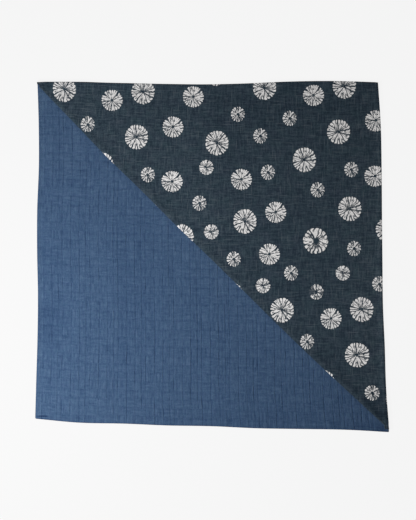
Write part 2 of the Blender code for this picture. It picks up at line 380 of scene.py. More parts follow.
def plain_surface(X, Y):
    """World x and y, the cloth's middle height, the distance from its edge, and the painted shade and
    light on it.
    """
    rx, ry = round_corners(X, Y)
    at = coons(rx / SIDE, ry / SIDE)
    x, y = at[..., 0] + SHIFT[0], at[..., 1] + SHIFT[1]
    beside, below = np.minimum(X, SIDE - X), np.minimum(Y, SIDE - Y)
    edge = np.minimum(beside, below)
    upright = beside < below
    along = np.where(upright, Y, X)
    height, depth = crinkle(X, Y)
    inner = smooth((edge - 3.5) / 6.0)
    wave = 0.9 * (0.42 + ripple(PLAIN_RIPPLES, x - SHIFT[0], y - SHIFT[1]))
    # The crinkle is flatter where the print cloth lies on it.
    seen = smooth(((Y - X) / math.sqrt(2) + 20) / 30)
    middle = 0.78 + 0.75 * wave + height * (0.25 + 0.75 * inner) * (0.35 + 0.65 * seen)
    middle += dents(PLAIN_DENTS, x, y) * inner * seen + pucker(along, edge)
    # Painted shade on the hems, in soft patches and at the bottoms of creases, and painted light in
    # places.
    shade = np.where(upright, painted_hem_shade("left", edge, along), painted_hem_shade("bottom", edge, along))
    shade = shade + dents(PLAIN_PAINTED_SHADING, x, y) + CREASE_SHADE * depth * (0.3 + 0.7 * inner)
    return x, y, middle, edge, shade


def grid_faces(columns, rows, start=0, turned=False):
    i, j = np.meshgrid(np.arange(columns - 1), np.arange(rows - 1), indexing="ij")
    a = start + i * rows + j
    quads = np.stack([a, a + 1, a + rows + 1, a + rows], -1).reshape(-1, 4)
    return (quads[:, ::-1] if turned else quads).tolist()


def plain_sheet(material):
    """The plain cloth: a fine upper side, a lower side at every second line, and a rim."""
    across, down = plain_lines()
    X, Y = np.meshgrid(across, down, indexing="ij")
    x, y, middle, edge, shade = plain_surface(X, Y)
    rim = smooth(edge / 0.8)
    half = 0.14 + 0.18 * rim
    low = np.maximum(middle - half, LOWEST)
    top = np.maximum(middle, low + half) + half + hem_height(edge) * smooth(edge / 0.7)
    upper = np.stack([x, y, top], -1).reshape(-1, 3)
    cut = (slice(None, None, 2), slice(None, None, 2))
    below = np.maximum(low[cut] - 0.5 * hem_height(edge[cut]) * rim[cut], LOWEST)
    lower = np.stack([x[cut], y[cut], below], -1).reshape(-1, 3)
    columns, rows = X.shape
    low_columns, low_rows = X[cut].shape
    base = columns * rows
    faces = grid_faces(columns, rows) + grid_faces(low_columns, low_rows, base, True)
    # A rim face has two steps above to one below.
    rims = [(2 * i * rows + 2 * j, rows, base + i * low_rows + j, low_rows, turned)
            for i in range(low_columns - 1) for j, turned in ((0, False), (low_rows - 1, True))]
    rims += [(2 * i * rows + 2 * j, 1, base + i * low_rows + j, 1, turned)
             for j in range(low_rows - 1) for i, turned in ((0, True), (low_columns - 1, False))]
    for above, step, under, low_step, turned in rims:
        ring = [above, above + step, above + 2 * step, under + low_step, under]
        faces.append(ring[::-1] if turned else ring)
    # Both sides carry the painted shade and light, the underside at a weaker share.
    flat = np.concatenate([np.stack([X, Y, shade], -1).reshape(-1, 3),
                           np.stack([X[cut], Y[cut], shade[cut] * 0.6], -1).reshape(-1, 3)])
    return make_mesh("plain_sheet", np.concatenate([upper, lower]), faces, material,
                     [("flat", "POINT", flat)])


# The folded print cloth.
# One repeat of the print, charted: kind of ring, millimetres right and down
# from the cloth's top left corner.
PRINT_CORNER = (37.2, 81.5)  # that corner's pixel
REPEAT = ((289, -7.5), (25, 319))
PRINTED = ((-320, 540), (-40, 860))  # rings are needed between these, right and down
RINGS = (
    ("large", 439, 7), ("large", 325, 8), ("middle", 395, 20), ("middle", 223, 22),
    ("small", 287, 47), ("small", 361, 53), ("middle", 194, 65), ("large", 431, 72),
    ("small", 319, 78), ("large", 257, 88), ("large", 382, 112), ("daisy", 242, 123),
    ("small", 449, 126), ("small", 330, 130), ("middle", 292, 140), ("middle", 193, 143),
    ("small", 401, 155), ("small", 232, 174), ("large", 447, 182), ("middle", 341, 187),
    ("large", 297, 200), ("daisy", 249, 215), ("large", 208, 221), ("open", 398, 228),
    ("small", 453, 239), ("middle", 332, 247), ("small", 281, 254), ("small", 363, 274),
    ("daisy", 437, 274), ("daisy", 323, 292), ("small", 200, 297), ("sparse", 399, 301),
    ("large", 278, 305),
)
# Radius across and down in millimetres, petals, half width of a slit, dark middle, where a slit
# starts, notch at the rim, short slits, flecks, broad slits, lost petals, seed, degrees of turn.
KINDS = {
    "large": (17.0, 18.0, 22, 0.043, 0.12, 0.32, 0.16, 0.52, 0.7, 0.18, 0.0, 3, 35),
    "open": (18.2, 19.0, 17, 0.058, 0.18, 0.26, 0.14, 0.8, 0.7, 0.24, 0.0, 19, 0),
    "middle": (15.2, 15.5, 24, 0.043, 0.15, 0.38, 0.28, 0.3, 0.85, 0.05, 0.0, 5, 8),
    "small": (10.2, 11.1, 15, 0.086, 0.2, 0.22, 0.4, 0.4, 1.0, 0.08, 0.0, 7, 14),
    "sparse": (10.6, 11.3, 12, 0.08, 0.24, 0.34, 0.22, 0.4, 0.9, 0.18, 0.26, 21, 0),
    "daisy": (10.5, 10.9, 15, 0.07, 0.13, 0.26, 0.12, 0.62, 0.8, 0.05, 0.0, 14, 12),
}
RING_COLUMNS = ("x", "y", "wide", "tall", "petals", "slit", "core", "reach", "notch", "inward",
                "fleck", "broad", "gone", "seed", "turn")
# What the material reads of a ring.
RING_ATTRIBUTES = {
    "ring": ("right", "up", "seed"),
    "make_a": ("petals", "slit", "core"),
    "make_b": ("reach", "notch", "inward"),
    "make_c": ("fleck", "broad", "gone"),
}

# Where the cloth was pulled a little out of square: pixel, reach in pixels, and how far
# the print moved right and down there, in pixels.
DRIFTS = (
    (62, 90, 36, 2.2, -3.0), (142, 92, 30, 1.2, 0.4), (87, 123, 14, -0.4, 1.6), (148, 174, 12, -1.6, 0.0),
    (388, 405, 40, 4.4, 0.3), (386, 345, 20, 2.4, 0.0), (388, 231, 16, 4.6, -1.5),
    (215, 84, 9, 2.2, 2.3), (328, 376, 12, 1.4, -0.7), (184, 233, 14, -1.0, 1.0),
    (376, 175, 14, 0.9, 0.0), (376, 120, 14, 0.8, -1.3), (264, 88, 14, 0.0, 1.2),
)


def printed_at(x, y):
    """The place in the print that lies at x, y."""
    right, down = np.zeros_like(x), np.zeros_like(x)
    for px, py, reach, dx, dy in DRIFTS:
        cx, cy = place(px, py)
        near = np.exp(-((x - cx) ** 2 + (y - cy) ** 2) / (reach * PX) ** 2)
        right += dx * PX * near
        down += dy * PX * near
    return x - right, y + down


def ring_table():
    """A row for each ring on the cloth, with the columns that RING_COLUMNS names."""
    found = []
    left, top = place(*PRINT_CORNER)
    for number, (kind, right, down) in enumerate(RINGS):
        own = list(KINDS[kind])
        own[-1] = math.radians(own[-1] * math.sin(2.3 * number))
        for a in range(-4, 5):
            for b in range(-4, 5):
                x = right + a * REPEAT[0][0] + b * REPEAT[1][0]
                y = down + a * REPEAT[0][1] + b * REPEAT[1][1]
                if all(low < at < high for at, (low, high) in zip((x, y), PRINTED)):
                    found.append([left + x, top - y] + own)
    return np.array(found)


def leg_point(share):
    """A point at a share along the print's open sides, the top and then the right one."""
    share = np.asarray(share, float)
    top = side_point("top", np.clip(2 * share, 0, 1))
    right = side_point("right", np.clip(2 * share - 1, 0, 1))
    return np.where((share <= 0.5)[..., None], top, right)


def rib_stops(stops, steps):
    """Ribs at even steps between given ones."""
    folds, legs = [], []
    for (fold_a, leg_a), (fold_b, leg_b) in zip(stops, stops[1:]):
        for k in range(steps):
            folds.append(fold_a + (fold_b - fold_a) * k / steps)
            legs.append(leg_a + (leg_b - leg_a) * k / steps)
    return folds, legs


def fold_columns(count):
    """Where the ribs of the print cloth start on its fold and end on its open sides."""
    share = np.linspace(0, 1, count)
    fold = bowed(*FOLD_ENDS, [-b for b in FOLD_BOW], share)
    leg = leg_point(LEG_FIRST + (LEG_LAST - LEG_FIRST) * share)
    first = [(np.array(f), np.array(g)) for f, g in TIP_TOP_LEFT[::-1]] + [(fold[0], leg[0])]
    last = [(fold[-1], leg[-1])] + [(np.array(f), np.array(g)) for f, g in TIP_BOTTOM_RIGHT]
    first_folds, first_legs = rib_stops(first, TIP_STEPS)
    last_folds, last_legs = rib_stops(last, TIP_STEPS)
    folds = np.concatenate([first_folds, fold, last_folds[1:], [last[-1][0]]])
    legs = np.concatenate([first_legs, leg, last_legs[1:], [last[-1][1]]])
    return folds + SHIFT, legs + SHIFT


def edge_distances(x, y):
    """Distances from the print's top side and right side, in millimetres."""
    left, top = CORNERS["top_left"]
    right, bottom = CORNERS["bottom_right"]
    across = np.clip((x - SHIFT[0] - left) / (CORNERS["top_right"][0] - left), 0, 1)
    down = np.clip((top - (y - SHIFT[1])) / (top - bottom), 0, 1)
    top = side_point("top", across)[..., 1] + SHIFT[1]
    right = side_point("right", down)[..., 0] + SHIFT[0]
    return top - y, right - x


# The print cloth in millimetres: how far its fold's rounding reaches in, and the crest on it.
ROLL, ROLL_RISE = 3.4, 0.75
ROLL_ROWS = (1.0, 1.45, 2.0, 2.7, 3.6)  # rows behind the fold, in rolls
ROLL_STEPS, INNER_ROWS, RIBS, TIP_STEPS = 9, 44, 250, 5
PRINT_EDGE_LINES = EDGE_LINES[:-2] + [6.8, 8.6]
SLANT = math.sqrt(2)  # the ribs meet the sides at 45 degrees
SHORT_RIB = 46.0  # shorter ribs have a smaller roll and closer rows
PRINT_THICK, PRINT_RIGHT_HEM = 0.62, 6.2
UNPRINTED = -5.0  # marks the side that the print does not reach


def rib_rows(length, squeeze):
    """Distances from the fold of the points on each rib."""
    hem = np.array(PRINT_EDGE_LINES) * SLANT
    roll = np.array(ROLL_ROWS) * ROLL
    rows = np.zeros((len(length), len(roll) + INNER_ROWS + len(hem)))
    for k, (long, share) in enumerate(zip(length, squeeze)):
        near, far = roll * share, long - hem[::-1] * share
        inner = np.linspace(near[-1], far[0], INNER_ROWS + 2)[1:-1]
        rows[k] = np.concatenate([near, inner, far])
    return rows


def print_floor(x, y, to_side):
    """Height on which the print lies, raised where the hems run."""
    plain = LAYER_THICK + 0.42 + ripple(PLAIN_RIPPLES, x - SHIFT[0], y - SHIFT[1])
    floor = plain + HEM_RAISE * (1 - smooth((to_side - 7) / 9)) + CLEARANCE
    return floor + HEM_RAISE * (1 - smooth((to_side - 5) / 6))


def print_top(x, y, floor, distance, roll, edge, along):
    """Height of the upper layer, with a crest on the roll and a dip behind it."""
    gap = LAYER_GAP + ripple(PRINT_RIPPLES, x - SHIFT[0], y - SHIFT[1])
    back = (distance - 1.1 * roll) / (2.1 * roll)
    crest = np.where(distance < 4.0 * roll, ROLL_RISE * (1 - smooth(back)), 0.0)
    dip = -0.10 * bell(distance - 2.6 * roll, 0.7 * roll)
    upper = floor + 1.5 + gap + 0.35 + crest + dip
    soft = smooth((distance - 1.5 * roll) / 12)
    upper = upper + dents(PRINT_DENTS, x, y) * soft + 0.10 * noise(x / 13, y / 17, 51) * soft
    return upper + 0.05 * noise(x / 4.2, y / 6, 52) * soft + pucker(along, edge) * 0.8


def shell_faces(columns, rows):
    """Faces of a closed shell: an outer grid, an inner one of the same size, and four walls."""
    base = columns * rows
    faces = grid_faces(columns, rows) + grid_faces(columns, rows, base, True)
    walls = [(i * rows + j, (i + 1) * rows + j, turned)
             for i in range(columns - 1) for j, turned in ((0, False), (rows - 1, True))]
    walls += [(i * rows + j, i * rows + j + 1, turned)
              for j in range(rows - 1) for i, turned in ((0, True), (columns - 1, False))]
    for a, b, turned in walls:
        wall = [a, b, base + b, base + a]
        faces.append(wall[::-1] if turned else wall)
    return faces


def ring_attributes(flat, faces, rings):
    """For each face the nearest ring: the place in it, and how it is made."""
    corner = flat[faces]
    centre = corner.mean(1)
    nearest = np.zeros(len(faces), int)
    best = np.full(len(faces), np.inf)
    for k, (x, y, wide, tall) in enumerate(rings[:, :4]):
        far = np.hypot((centre[:, 0] - x) / wide, (centre[:, 1] - y) / tall)
        closer = far < best
        best[closer] = far[closer]
        nearest[closer] = k
    own = dict(zip(RING_COLUMNS, np.moveaxis(rings[nearest][:, None, :], -1, 0)))
    right = (corner[..., 0] - own["x"]) / own["wide"]
    up = (corner[..., 1] - own["y"]) / own["tall"]
    cos, sin = np.cos(own["turn"]), np.sin(own["turn"])
    own["right"], own["up"] = right * cos - up * sin, right * sin + up * cos
    return [(name, "CORNER", np.stack([np.broadcast_to(own[part], right.shape) for part in parts], -1))
            for name, parts in RING_ATTRIBUTES.items()]


def print_sheet(material, rings):
    """The print cloth: ribs run from the open sides over the upper layer, round the fold and
    back on the lower layer, once outside and once inside."""
    folds, legs = fold_columns(RIBS)
    run = legs - folds
    length = np.hypot(run[:, 0], run[:, 1])
    run /= length[:, None]
    fold_x, fold_y = folds[:, :1], folds[:, 1:]
    run_x, run_y = run[:, :1], run[:, 1:]
    squeeze = np.minimum(1.0, length / SHORT_RIB)
    roll = ROLL * squeeze[:, None]
    distance = rib_rows(length, squeeze)
    x, y = fold_x + run_x * distance, fold_y + run_y * distance
    from_top, from_right = edge_distances(x, y)
    at_right = from_right < from_top
    edge = np.minimum(from_top, from_right)
    along = np.where(at_right, y, x)
    hem = hem_height(edge, np.where(at_right, PRINT_RIGHT_HEM, HEM_WIDTH))
    rim = smooth(edge / 0.8)
    floor = print_floor(x, y, (length[:, None] - distance) / SLANT)
    upper = print_top(x, y, floor, distance, roll, edge, along)
    upper_top = upper + hem * smooth(edge / 0.7) - (1 - rim) * 0.18
    upper_low = upper - PRINT_THICK + (1 - rim) * 0.18 - 0.4 * hem * rim
    lower_bottom = floor + 0.05 + (1 - rim) * 0.18 - 0.05 * rim
    lower_top = floor + PRINT_THICK + 0.1 - (1 - rim) * 0.15 + 0.5 * hem * rim

    # The roll is half an oval between the two layers.
    top_z, low_z = upper_top[:, :1], lower_bottom[:, :1]
    middle, tall = (top_z + low_z) / 2, (top_z - low_z) / 2
    angle = (math.pi / 2 - math.pi * np.arange(1, ROLL_STEPS) / ROLL_STEPS)[None]
    first = distance[:, :1]
    arc_r = first - first * np.cos(angle)
    arc_z = middle + tall * np.sin(angle)
    wall = np.minimum(PRINT_THICK * 1.1, first * 0.5)
    in_r = first - (first - wall) * np.cos(angle)
    in_z = middle + (tall - PRINT_THICK) * np.sin(angle)
    inset = np.zeros_like(distance)
    inset[:, -len(PRINT_EDGE_LINES):] = HIDDEN_INSET * squeeze[:, None]
    low_r = distance - inset

    def ribs(parts):
        return np.concatenate([np.stack([fold_x + run_x * r, fold_y + run_y * r, z], -1)
                               for r, z in parts], 1)

    outer = ribs(((distance[:, ::-1], upper_top[:, ::-1]), (arc_r, arc_z), (low_r, lower_bottom)))
    inner = ribs(((distance[:, ::-1], upper_low[:, ::-1]), (in_r, in_z), (low_r, lower_top)))

    # Flat cloth coordinates: the upper layer is where it lies, and the rest rolls on from it.
    quarter = np.pi / 2 * np.sqrt((first ** 2 + tall ** 2) / 2)
    turn = np.arange(1, ROLL_STEPS)[None] / ROLL_STEPS
    flat_r = np.concatenate([distance[:, ::-1], first - 2 * quarter * turn,
                             first - 2 * quarter - (distance - first)], 1)
    places = np.stack(printed_at(fold_x + run_x * flat_r, fold_y + run_y * flat_r), -1)
    columns, rows = flat_r.shape
    share = np.linspace(0.0, 1.0, columns)[:, None]
    # Painted shade and painted light on the hems and in soft patches.
    shade = np.where(at_right, painted_hem_shade("right", edge, along), painted_hem_shade("top", edge, along))
    shade = shade + dents(PRINT_PAINTED_SHADING, x, y)
    # Painted highlight along the fold's roll, stronger towards the lower right.
    shade = shade - (0.12 + 0.15 * share) * bell(distance - 0.9 * roll, 0.95 * roll)
    flat_out = np.concatenate([places, np.zeros((columns, rows, 1))], -1)
    flat_in = flat_out.copy()
    flat_out[:, :distance.shape[1], 2] = shade[:, ::-1]
    flat_in[..., 2] = UNPRINTED
    flat = np.concatenate([flat_out.reshape(-1, 3), flat_in.reshape(-1, 3)])
    faces = shell_faces(columns, rows)
    points = np.concatenate([outer.reshape(-1, 3), inner.reshape(-1, 3)])
    return make_mesh("print_sheet", points, faces, material,
                     [("flat", "POINT", flat)] + ring_attributes(flat, np.array(faces), rings))


# Materials.
class Tree:
    """Short ways to write a material's nodes."""

    def __init__(self, name):
        self.material = bpy.data.materials.new(name)
        self.material.use_nodes = True
        self.tree = self.material.node_tree
        self.shader = self.tree.nodes["Principled BSDF"]

    def put(self, node, index, value):
        socket = node.inputs[index]
        if hasattr(value, "is_output"):
            self.tree.links.new(value, socket)
        else:
            socket.default_value = value

    def node(self, kind, *values, **settings):
        """A new node with its settings, and values for its first inputs."""
        node = self.tree.nodes.new("ShaderNode" + kind)
        for name, setting in settings.items():
            setattr(node, name, setting)
        for k, value in enumerate(values):
            self.put(node, k, value)
        return node

    def math(self, operation, a, b=0.0, c=0.0):
        return self.node("Math", a, b, c, operation=operation).outputs[0]

    def add(self, a, b):
        return self.math("ADD", a, b)

    def sub(self, a, b):
        return self.math("SUBTRACT", a, b)

    def mul(self, a, b):
        return self.math("MULTIPLY", a, b)

    def step(self, value, low, high):
        """0 below low, 1 above high, smooth between. Either may be a socket."""
        node = self.node("MapRange", value, low, high, 0.0, 1.0, interpolation_type="SMOOTHSTEP")
        return node.outputs[0]

    def fall(self, value, low, high):
        """1 below low, 0 above high, smooth between."""
        return self.sub(1.0, self.step(value, low, high))

    def attribute(self, name):
        vector = self.node("Attribute", attribute_name=name).outputs["Vector"]
        return tuple(self.node("SeparateXYZ", vector).outputs)

    def vector(self, x, y, z=0.0):
        return self.node("CombineXYZ", x, y, z).outputs[0]

    def noise(self, x, y, z=0.0, detail=2.0, rough=0.5):
        node = self.node("TexNoise", self.vector(x, y, z))
        for name, value in (("Scale", 1.0), ("Detail", detail), ("Roughness", rough)):
            node.inputs[name].default_value = value
        return node.outputs["Fac"]

    def random(self, x, y):
        return self.node("TexWhiteNoise", self.vector(x, y), noise_dimensions="2D").outputs["Value"]

    def blend(self, share, a, b):
        node = self.node("Mix", share, data_type="RGBA")
        self.put(node, 6, a)
        self.put(node, 7, b)
        return node.outputs[2]

    def scaled(self, colour, factor):
        """A colour made lighter or darker by a factor."""
        node = self.node("VectorMath", colour[:3], operation="SCALE")
        self.put(node, 3, factor)
        return node.outputs[0]

    def tinted(self, colour, tone, powers):
        """A colour made lighter or darker, by its own power of the tone in red, green and blue."""
        factors = self.vector(*[self.math("POWER", tone, power) for power in powers])
        return self.node("VectorMath", colour, factors, operation="MULTIPLY").outputs[0]

    def bump(self, height, distance, strength):
        node = self.node("Bump")
        node.inputs["Distance"].default_value = distance
        node.inputs["Strength"].default_value = strength
        self.tree.links.new(height, node.inputs["Height"])
        self.tree.links.new(node.outputs[0], self.shader.inputs["Normal"])

    def finish(self, colour, roughness, sheen, specular):
        self.put(self.shader, self.shader.inputs.find("Base Color"), colour)
        for name, value in (("Roughness", roughness), ("Specular IOR Level", specular),
                            ("Sheen Weight", sheen), ("Sheen Roughness", 0.5)):
            self.shader.inputs[name].default_value = value
        return self.material


def threads(t, x, y, pitch):
    """A plain weave: warp over weft in one square, weft over warp in the next."""
    turn = math.pi / pitch
    a = t.math("SINE", t.mul(x, turn))
    b = t.math("SINE", t.mul(y, turn))
    over = t.step(t.mul(a, b), -0.15, 0.15)
    warp = t.math("ABSOLUTE", a)
    weft = t.math("ABSOLUTE", b)
    return t.add(t.mul(over, warp), t.mul(t.sub(1.0, over), weft))


def woven_lines(t, across, along, repeat, lines, long, wide, even, seed):
    """Dark lines at set places in each repeat, in lengths of more or less even strength: painted shade
    along the creases, with a painted highlight on a flank beside each.
    """
    total = 0.0
    for number, offset in enumerate(lines):
        column = t.math("ROUND", t.mul(t.sub(across, offset), 1 / repeat))
        slide = t.add(t.mul(along, 1 / long), t.mul(t.random(column, seed + number), 7.0))
        row = t.math("FLOOR", slide)
        luck = t.random(t.add(column, t.mul(row, 13.7)), seed + number + 0.5)
        wander = t.noise(t.mul(along, 0.07), t.mul(column, 5.3), seed + number, 1.0)
        wander = t.mul(t.sub(wander, 0.5), 2.4)
        middle = t.add(t.add(t.mul(column, repeat), offset), wander)
        off = t.math("ABSOLUTE", t.sub(across, middle))
        part = t.math("ABSOLUTE", t.sub(t.sub(slide, row), 0.5))
        force = t.add(even, t.mul(t.mul(luck, luck), 1.6 - 1.6 * even))
        force = t.mul(force, t.sub(1.0, t.mul(t.step(part, 0.40, 0.5), 0.8 * (1 - even))))
        # A painted highlight on a flank beside each dark line.
        flank = t.mul(t.step(off, 0.8 * wide, 1.4 * wide), t.fall(off, 1.5 * wide, 2.6 * wide))
        total = t.add(total, t.mul(t.sub(t.fall(off, 0.1, wide), t.mul(flank, 0.35)), force))
    return total


def slubs(t, across, along, wide, long, share, seed):
    """Thicker threads: thin lines that run along, at scattered places, one at most in each cell."""
    column = t.math("FLOOR", t.mul(across, 1 / wide))
    slide = t.add(t.mul(along, 1 / long), t.mul(t.random(column, seed), 7.0))
    row = t.math("FLOOR", slide)
    luck = t.random(t.add(column, t.mul(row, 13.7)), seed + 1)
    aside = t.random(t.add(column, t.mul(row, 17.3)), seed + 2)
    middle = t.mul(t.add(t.add(column, 0.25), t.mul(aside, 0.5)), wide)
    off = t.math("ABSOLUTE", t.sub(across, middle))
    part = t.math("ABSOLUTE", t.sub(t.sub(slide, row), 0.5))
    ends = t.fall(part, 0.1, 0.5)
    return t.mul(t.fall(off, 0.1, 0.6), t.mul(ends, t.step(luck, 1 - share, 1.0)))


# Red, green and blue each follow the tone by their own power: lighter places turn greyer, and darker ones,
# the painted shade in furrows among them, bluer.
BLUE_POWERS = (1.25, 0.98, 0.68)
DARK_POWERS = (1.22, 0.98, 0.78)
BLUE_DYES = ((0.0420, 0.0874, 0.159, 1), (0.0474, 0.0846, 0.165, 1))
DARK_DYES = ((0.0275, 0.0510, 0.0660, 1), (0.0325, 0.0465, 0.0680, 1))
SLUB = (0.084, 0.100, 0.116, 1)
UNDYED = (0.84, 0.825, 0.815)
BLUE_THREAD = (0.044, 0.088, 0.160)
DARK_THREAD = (0.032, 0.050, 0.066)
FLOOR_GLOW = (0.885, 0.885, 0.885, 1)


def plain_material():
    t = Tree("crinkled_blue_cotton")
    x, y, shade = t.attribute("flat")
    # Fine furrows change from one cell of the check to the next.
    row = t.math("FLOOR", t.mul(t.sub(y, CROSS_LINES[0]), 1 / BAND))
    column = t.math("FLOOR", t.mul(t.sub(x, DOWN_LINES[0]), 3 / DOWN_REPEAT))
    down = t.noise(t.mul(x, 0.38), t.add(t.mul(row, 5.1), t.mul(y, 0.05)), 3.0, 3.0, 0.65)
    cross = t.noise(t.mul(x, 0.085), t.mul(y, 0.36), 8.0, 3.0, 0.6)
    grain = t.noise(t.mul(x, 0.8), t.mul(y, 0.5), 1.0, 2.0)
    cloud = t.noise(t.mul(x, 0.045), t.mul(y, 0.045), 5.0, 2.0)
    pick = t.random(column, t.add(row, 0.5))
    down = t.mul(t.sub(down, 0.5), t.add(0.6, t.mul(pick, 0.8)))
    cross = t.mul(t.sub(cross, 0.5), t.sub(1.3, pick))
    lines = t.add(t.mul(woven_lines(t, x, y, DOWN_REPEAT, DOWN_LINES, 1.5 * BAND, 1.1, 0.20, 2.0), 0.17),
                  t.mul(woven_lines(t, y, x, CROSS_REPEAT, CROSS_LINES, 27.0, 2.6, 0.55, 22.0), 0.075))
    tone = t.add(0.99, t.mul(down, 1.25))
    tone = t.add(tone, cross)
    tone = t.add(tone, t.mul(t.sub(grain, 0.5), 0.65))
    tone = t.add(tone, t.mul(t.sub(cloud, 0.5), 0.08))
    # Painted shade and painted light from the mesh, then painted shade along the creased lines.
    tone = t.mul(tone, t.sub(1.0, shade))
    tone = t.mul(tone, t.sub(1.0, lines))
    weave = threads(t, x, y, 0.62)
    tone = t.mul(tone, t.add(0.86, t.mul(weave, 0.2)))
    hue = t.blend(t.noise(t.mul(x, 0.16), t.mul(y, 0.16), 1.0, 1.0), *BLUE_DYES)
    height = t.add(t.mul(weave, 0.10), t.add(t.mul(down, 0.42), t.mul(cross, 0.26)))
    height = t.sub(height, t.mul(lines, 1.8))
    t.bump(height, 0.0011, 0.8)
    return t.finish(t.tinted(hue, tone, BLUE_POWERS), 0.94, 0.05, 0.15)


def ring_white(t):
    """How white the print is: 1 on a ring's petals, 0 on the ground and in the slits."""
    rx, ry, seed = t.attribute("ring")
    petals, slit, core = t.attribute("make_a")
    reach, notch, inward = t.attribute("make_b")
    fleck, broad, gone = t.attribute("make_c")
    r = t.math("SQRT", t.add(t.mul(rx, rx), t.mul(ry, ry)))
    turn = t.add(t.mul(t.math("ARCTAN2", ry, rx), 1 / (2 * math.pi)), 0.5)
    sway = t.noise(t.mul(rx, 1.7), t.mul(ry, 1.7), seed, 1.0)
    spread = t.add(t.mul(turn, petals), t.mul(t.sub(sway, 0.5), 1.8))
    line = t.math("ROUND", spread)
    aside = t.math("ABSOLUTE", t.sub(spread, line))
    which = t.math("FLOORED_MODULO", line, petals)
    petal = t.math("FLOORED_MODULO", t.math("FLOOR", spread), petals)
    luck = [t.random(t.add(which, shift), seed) for shift in (0.0, 31.7, 63.1)]
    petal_luck = [t.random(t.add(petal, shift), seed) for shift in (57.3, 83.1, 107.9)]
    around = t.math("DIVIDE", t.mul(r, 2 * math.pi), petals)
    arc = t.mul(aside, around)
    # Slits run in from the rim, some only a little; the broad ones reach the middle.
    is_broad = t.fall(luck[2], t.sub(broad, 0.01), t.add(broad, 0.01))
    begins = t.add(reach, t.add(t.mul(t.sub(luck[0], 0.5), 0.75), t.mul(ry, 0.14)))
    begins = t.mul(begins, t.sub(1.0, is_broad))
    opening = t.step(r, begins, t.add(begins, 0.22))
    wide = t.mul(slit, t.add(t.add(0.40, t.mul(luck[1], 0.85)), t.mul(is_broad, 0.6)))
    wide = t.mul(wide, t.add(0.55, t.mul(r, 0.6)))
    slits = t.mul(t.fall(arc, t.mul(wide, 0.7), t.mul(wide, 1.15)), opening)
    # Short slits run out from the dark middle, and ticks lie inside the petals.
    burst = t.fall(r, t.add(0.24, t.mul(luck[1], 0.25)), t.add(0.34, t.mul(luck[1], 0.30)))
    shown = t.fall(luck[0], t.sub(inward, 0.02), t.add(inward, 0.02))
    inner = t.mul(t.fall(arc, t.mul(slit, 0.65), t.mul(slit, 1.1)), t.mul(burst, shown))
    heart = t.mul(t.math("ABSOLUTE", t.sub(0.5, aside)), around)
    tick_at = t.add(0.38, t.mul(petal_luck[0], 0.44))
    tick_run = t.fall(t.math("ABSOLUTE", t.sub(r, tick_at)), t.mul(slit, 1.2), t.mul(slit, 2.6))
    tick_wide = t.fall(heart, t.mul(slit, 0.6), t.mul(slit, 1.1))
    ticks = t.mul(tick_wide, t.mul(tick_run, t.step(petal_luck[1], 0.35, 0.4)))
    # The rim is blunt, with a narrow notch at each slit.
    q = t.sub(1.0, t.mul(aside, 2.0))
    rim = t.sub(t.sub(1.0, t.mul(notch, t.math("POWER", q, 4.0))), t.mul(petal_luck[1], 0.05))
    disc = t.fall(r, t.sub(rim, 0.025), t.add(rim, 0.015))
    ragged = t.noise(t.mul(rx, 6.0), t.mul(ry, 6.0), seed, 2.0)
    hub = t.step(t.add(r, t.mul(t.sub(ragged, 0.5), 0.30)), t.sub(core, 0.02), t.add(core, 0.03))
    streak = t.noise(t.mul(spread, 1.9), t.mul(r, 3.8), t.add(seed, 4.0), 2.0)
    flecks = t.mul(t.step(streak, 0.58, 0.65), fleck)
    # A ring that took less dye resist lost petals on its left.
    lost = t.mul(gone, t.sub(1.0, t.mul(rx, 0.9)))
    here = t.step(petal_luck[2], t.sub(lost, 0.01), t.add(lost, 0.01))
    here = t.add(0.03, t.mul(here, 0.97))
    dye = t.math("MAXIMUM", t.math("MAXIMUM", slits, inner), t.math("MAXIMUM", ticks, flecks))
    shade = t.add(0.88, t.add(t.mul(t.step(r, 0.1, 0.6), 0.12), t.mul(petal_luck[0], 0.10)))
    white = t.mul(t.mul(disc, hub), t.mul(t.sub(1.0, dye), shade))
    return t.mul(white, t.math("MAXIMUM", here, t.fall(gone, 0.01, 0.02)))


